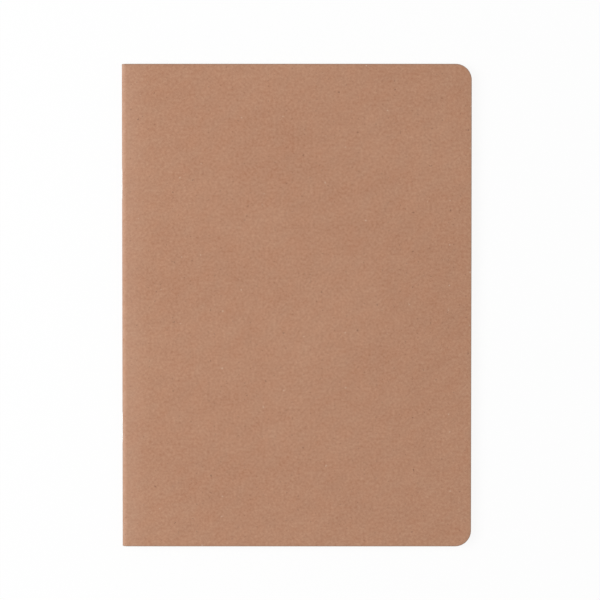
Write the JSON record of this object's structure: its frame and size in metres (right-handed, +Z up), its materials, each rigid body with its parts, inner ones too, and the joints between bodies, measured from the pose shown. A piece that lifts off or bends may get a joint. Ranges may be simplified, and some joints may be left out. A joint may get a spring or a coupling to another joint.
{
  "type": "notebook",
  "caption": "Saddle-stitched notebook with a soft kraft card cover, square at the spine and round at the fore-edge corners, with plain cream leaves that fan as it opens.",
  "frame": {"origin": "middle of the underside of the closed notebook, at the bottom centre of its box", "axes": "+Z up out of the front cover, +Y towards the head, +X towards the fore edge, spine at -X"},
  "size_m": [0.1522, 0.21, 0.0043],
  "materials": {
    "kraft_card": "uncoated kraft card with fine fibres and sparse flecks",
    "page_paper": "uncoated cream writing paper, unprinted",
    "staple_wire": "bright galvanised stitching wire"
  },
  "bodies": {
    "back_cover": {"cover_back": "kraft_card"},
    "front_cover": {"cover_front": "kraft_card"},
    "spine": {"cover_spine": "kraft_card", "staple_head": "staple_wire", "staple_tail": "staple_wire", "sheet_01_fold": "page_paper", "sheet_02_fold": "page_paper", "sheet_03_fold": "page_paper", "sheet_04_fold": "page_paper", "sheet_05_fold": "page_paper", "sheet_06_fold": "page_paper", "sheet_07_fold": "page_paper", "sheet_08_fold": "page_paper", "sheet_09_fold": "page_paper", "sheet_10_fold": "page_paper", "sheet_11_fold": "page_paper", "sheet_12_fold": "page_paper", "sheet_13_fold": "page_paper", "sheet_14_fold": "page_paper", "sheet_15_fold": "page_paper", "sheet_16_fold": "page_paper"},
    "front_leaf_01": {"sheet_01_front_leaf": "page_paper"},
    "back_leaf_01": {"sheet_01_back_leaf": "page_paper"},
    "front_leaf_02": {"sheet_02_front_leaf": "page_paper"},
    "back_leaf_02": {"sheet_02_back_leaf": "page_paper"},
    "front_leaf_03": {"sheet_03_front_leaf": "page_paper"},
    "back_leaf_03": {"sheet_03_back_leaf": "page_paper"},
    "front_leaf_04": {"sheet_04_front_leaf": "page_paper"},
    "back_leaf_04": {"sheet_04_back_leaf": "page_paper"},
    "front_leaf_05": {"sheet_05_front_leaf": "page_paper"},
    "back_leaf_05": {"sheet_05_back_leaf": "page_paper"},
    "front_leaf_06": {"sheet_06_front_leaf": "page_paper"},
    "back_leaf_06": {"sheet_06_back_leaf": "page_paper"},
    "front_leaf_07": {"sheet_07_front_leaf": "page_paper"},
    "back_leaf_07": {"sheet_07_back_leaf": "page_paper"},
    "front_leaf_08": {"sheet_08_front_leaf": "page_paper"},
    "back_leaf_08": {"sheet_08_back_leaf": "page_paper"},
    "front_leaf_09": {"sheet_09_front_leaf": "page_paper"},
    "back_leaf_09": {"sheet_09_back_leaf": "page_paper"},
    "front_leaf_10": {"sheet_10_front_leaf": "page_paper"},
    "back_leaf_10": {"sheet_10_back_leaf": "page_paper"},
    "front_leaf_11": {"sheet_11_front_leaf": "page_paper"},
    "back_leaf_11": {"sheet_11_back_leaf": "page_paper"},
    "front_leaf_12": {"sheet_12_front_leaf": "page_paper"},
    "back_leaf_12": {"sheet_12_back_leaf": "page_paper"},
    "front_leaf_13": {"sheet_13_front_leaf": "page_paper"},
    "back_leaf_13": {"sheet_13_back_leaf": "page_paper"},
    "front_leaf_14": {"sheet_14_front_leaf": "page_paper"},
    "back_leaf_14": {"sheet_14_back_leaf": "page_paper"},
    "front_leaf_15": {"sheet_15_front_leaf": "page_paper"},
    "back_leaf_15": {"sheet_15_back_leaf": "page_paper"},
    "front_leaf_16": {"sheet_16_front_leaf": "page_paper"},
    "back_leaf_16": {"sheet_16_back_leaf": "page_paper"}
  },
  "joints": [
    {"name": "cover_hinge", "type": "hinge", "parent": "back_cover", "child": "front_cover", "pos_m": [-0.07376, 0, 0.00217], "axis": [0, -1, 0], "range_deg": [0, 179.5]},
    {"name": "spine_roll", "type": "hinge", "parent": "back_cover", "child": "spine", "pos_m": [-0.07376, 0, 0.00217], "axis": [0, -1, 0], "range_deg": [0, 89.75]},
    {"name": "sheet_01_lift", "type": "hinge", "parent": "back_cover", "child": "back_leaf_01", "pos_m": [-0.07376, 0, 0.00217], "axis": [0, -1, 0], "range_deg": [0, 1.85]},
    {"name": "sheet_01_open", "type": "hinge", "parent": "back_leaf_01", "child": "front_leaf_01", "pos_m": [-0.07376, 0, 0.00217], "axis": [0, -1, 0], "range_deg": [0, 175.81]},
    {"name": "sheet_02_lift", "type": "hinge", "parent": "back_cover", "child": "back_leaf_02", "pos_m": [-0.07376, 0, 0.00217], "axis": [0, -1, 0], "range_deg": [0, 2.02]},
    {"name": "sheet_02_open", "type": "hinge", "parent": "back_leaf_02", "child": "front_leaf_02", "pos_m": [-0.07376, 0, 0.00217], "axis": [0, -1, 0], "range_deg": [0, 175.48]},
    {"name": "sheet_03_lift", "type": "hinge", "parent": "back_cover", "child": "back_leaf_03", "pos_m": [-0.07376, 0, 0.00217], "axis": [0, -1, 0], "range_deg": [0, 2.3]},
    {"name": "sheet_03_open", "type": "hinge", "parent": "back_leaf_03", "child": "front_leaf_03", "pos_m": [-0.07376, 0, 0.00217], "axis": [0, -1, 0], "range_deg": [0, 174.91]},
    {"name": "sheet_04_lift", "type": "hinge", "parent": "back_cover", "child": "back_leaf_04", "pos_m": [-0.07376, 0, 0.00217], "axis": [0, -1, 0], "range_deg": [0, 2.7]},
    {"name": "sheet_04_open", "type": "hinge", "parent": "back_leaf_04", "child": "front_leaf_04", "pos_m": [-0.07376, 0, 0.00217], "axis": [0, -1, 0], "range_deg": [0, 174.12]},
    {"name": "sheet_05_lift", "type": "hinge", "parent": "back_cover", "child": "back_leaf_05", "pos_m": [-0.07376, 0, 0.00217], "axis": [0, -1, 0], "range_deg": [0, 3.2]},
    {"name": "sheet_05_open", "type": "hinge", "parent": "back_leaf_05", "child": "front_leaf_05", "pos_m": [-0.07376, 0, 0.00217], "axis": [0, -1, 0], "range_deg": [0, 173.11]},
    {"name": "sheet_06_lift", "type": "hinge", "parent": "back_cover", "child": "back_leaf_06", "pos_m": [-0.07376, 0, 0.00217], "axis": [0, -1, 0], "range_deg": [0, 3.81]},
    {"name": "sheet_06_open", "type": "hinge", "parent": "back_leaf_06", "child": "front_leaf_06", "pos_m": [-0.07376, 0, 0.00217], "axis": [0, -1, 0], "range_deg": [0, 171.89]},
    {"name": "sheet_07_lift", "type": "hinge", "parent": "back_cover", "child": "back_leaf_07", "pos_m": [-0.07376, 0, 0.00217], "axis": [0, -1, 0], "range_deg": [0, 4.55]},
    {"name": "sheet_07_open", "type": "hinge", "parent": "back_leaf_07", "child": "front_leaf_07", "pos_m": [-0.07376, 0, 0.00217], "axis": [0, -1, 0], "range_deg": [0, 170.42]},
    {"name": "sheet_08_lift", "type": "hinge", "parent": "back_cover", "child": "back_leaf_08", "pos_m": [-0.07376, 0, 0.00217], "axis": [0, -1, 0], "range_deg": [0, 5.39]},
    {"name": "sheet_08_open", "type": "hinge", "parent": "back_leaf_08", "child": "front_leaf_08", "pos_m": [-0.07376, 0, 0.00217], "axis": [0, -1, 0], "range_deg": [0, 168.73]},
    {"name": "sheet_09_lift", "type": "hinge", "parent": "back_cover", "child": "back_leaf_09", "pos_m": [-0.07376, 0, 0.00217], "axis": [0, -1, 0], "range_deg": [0, 6.34]},
    {"name": "sheet_09_open", "type": "hinge", "parent": "back_leaf_09", "child": "front_leaf_09", "pos_m": [-0.07376, 0, 0.00217], "axis": [0, -1, 0], "range_deg": [0, 166.83]},
    {"name": "sheet_10_lift", "type": "hinge", "parent": "back_cover", "child": "back_leaf_10", "pos_m": [-0.07376, 0, 0.00217], "axis": [0, -1, 0], "range_deg": [0, 7.42]},
    {"name": "sheet_10_open", "type": "hinge", "parent": "back_leaf_10", "child": "front_leaf_10", "pos_m": [-0.07376, 0, 0.00217], "axis": [0, -1, 0], "range_deg": [0, 164.68]},
    {"name": "sheet_11_lift", "type": "hinge", "parent": "back_cover", "child": "back_leaf_11", "pos_m": [-0.07376, 0, 0.00217], "axis": [0, -1, 0], "range_deg": [0, 8.59]},
    {"name": "sheet_11_open", "type": "hinge", "parent": "back_leaf_11", "child": "front_leaf_11", "pos_m": [-0.07376, 0, 0.00217], "axis": [0, -1, 0], "range_deg": [0, 162.34]},
    {"name": "sheet_12_lift", "type": "hinge", "parent": "back_cover", "child": "back_leaf_12", "pos_m": [-0.07376, 0, 0.00217], "axis": [0, -1, 0], "range_deg": [0, 9.88]},
    {"name": "sheet_12_open", "type": "hinge", "parent": "back_leaf_12", "child": "front_leaf_12", "pos_m": [-0.07376, 0, 0.00217], "axis": [0, -1, 0], "range_deg": [0, 159.76]},
    {"name": "sheet_13_lift", "type": "hinge", "parent": "back_cover", "child": "back_leaf_13", "pos_m": [-0.07376, 0, 0.00217], "axis": [0, -1, 0], "range_deg": [0, 11.28]},
    {"name": "sheet_13_open", "type": "hinge", "parent": "back_leaf_13", "child": "front_leaf_13", "pos_m": [-0.07376, 0, 0.00217], "axis": [0, -1, 0], "range_deg": [0, 156.96]},
    {"name": "sheet_14_lift", "type": "hinge", "parent": "back_cover", "child": "back_leaf_14", "pos_m": [-0.07376, 0, 0.00217], "axis": [0, -1, 0], "range_deg": [0, 12.79]},
    {"name": "sheet_14_open", "type": "hinge", "parent": "back_leaf_14", "child": "front_leaf_14", "pos_m": [-0.07376, 0, 0.00217], "axis": [0, -1, 0], "range_deg": [0, 153.94]},
    {"name": "sheet_15_lift", "type": "hinge", "parent": "back_cover", "child": "back_leaf_15", "pos_m": [-0.07376, 0, 0.00217], "axis": [0, -1, 0], "range_deg": [0, 14.42]},
    {"name": "sheet_15_open", "type": "hinge", "parent": "back_leaf_15", "child": "front_leaf_15", "pos_m": [-0.07376, 0, 0.00217], "axis": [0, -1, 0], "range_deg": [0, 150.68]},
    {"name": "sheet_16_lift", "type": "hinge", "parent": "back_cover", "child": "back_leaf_16", "pos_m": [-0.07376, 0, 0.00217], "axis": [0, -1, 0], "range_deg": [0, 16.16]},
    {"name": "sheet_16_open", "type": "hinge", "parent": "back_leaf_16", "child": "front_leaf_16", "pos_m": [-0.07376, 0, 0.00217], "axis": [0, -1, 0], "range_deg": [0, 147.19]}
  ],
  "couplings": [
    {"joint": "spine_roll", "follows": "cover_hinge", "ratio": 0.5},
    {"joint": "sheet_01_lift", "follows": "cover_hinge", "ratio": 0.0103},
    {"joint": "sheet_01_open", "follows": "cover_hinge", "ratio": 0.9794},
    {"joint": "sheet_02_lift", "follows": "cover_hinge", "ratio": 0.0112},
    {"joint": "sheet_02_open", "follows": "cover_hinge", "ratio": 0.9776},
    {"joint": "sheet_03_lift", "follows": "cover_hinge", "ratio": 0.0128},
    {"joint": "sheet_03_open", "follows": "cover_hinge", "ratio": 0.9744},
    {"joint": "sheet_04_lift", "follows": "cover_hinge", "ratio": 0.015},
    {"joint": "sheet_04_open", "follows": "cover_hinge", "ratio": 0.97},
    {"joint": "sheet_05_lift", "follows": "cover_hinge", "ratio": 0.0178},
    {"joint": "sheet_05_open", "follows": "cover_hinge", "ratio": 0.9644},
    {"joint": "sheet_06_lift", "follows": "cover_hinge", "ratio": 0.0212},
    {"joint": "sheet_06_open", "follows": "cover_hinge", "ratio": 0.9576},
    {"joint": "sheet_07_lift", "follows": "cover_hinge", "ratio": 0.0253},
    {"joint": "sheet_07_open", "follows": "cover_hinge", "ratio": 0.9494},
    {"joint": "sheet_08_lift", "follows": "cover_hinge", "ratio": 0.03},
    {"joint": "sheet_08_open", "follows": "cover_hinge", "ratio": 0.94},
    {"joint": "sheet_09_lift", "follows": "cover_hinge", "ratio": 0.0353},
    {"joint": "sheet_09_open", "follows": "cover_hinge", "ratio": 0.9294},
    {"joint": "sheet_10_lift", "follows": "cover_hinge", "ratio": 0.0413},
    {"joint": "sheet_10_open", "follows": "cover_hinge", "ratio": 0.9174},
    {"joint": "sheet_11_lift", "follows": "cover_hinge", "ratio": 0.0478},
    {"joint": "sheet_11_open", "follows": "cover_hinge", "ratio": 0.9044},
    {"joint": "sheet_12_lift", "follows": "cover_hinge", "ratio": 0.055},
    {"joint": "sheet_12_open", "follows": "cover_hinge", "ratio": 0.89},
    {"joint": "sheet_13_lift", "follows": "cover_hinge", "ratio": 0.0628},
    {"joint": "sheet_13_open", "follows": "cover_hinge", "ratio": 0.8744},
    {"joint": "sheet_14_lift", "follows": "cover_hinge", "ratio": 0.0712},
    {"joint": "sheet_14_open", "follows": "cover_hinge", "ratio": 0.8576},
    {"joint": "sheet_15_lift", "follows": "cover_hinge", "ratio": 0.0803},
    {"joint": "sheet_15_open", "follows": "cover_hinge", "ratio": 0.8394},
    {"joint": "sheet_16_lift", "follows": "cover_hinge", "ratio": 0.09},
    {"joint": "sheet_16_open", "follows": "cover_hinge", "ratio": 0.82}
  ]
}
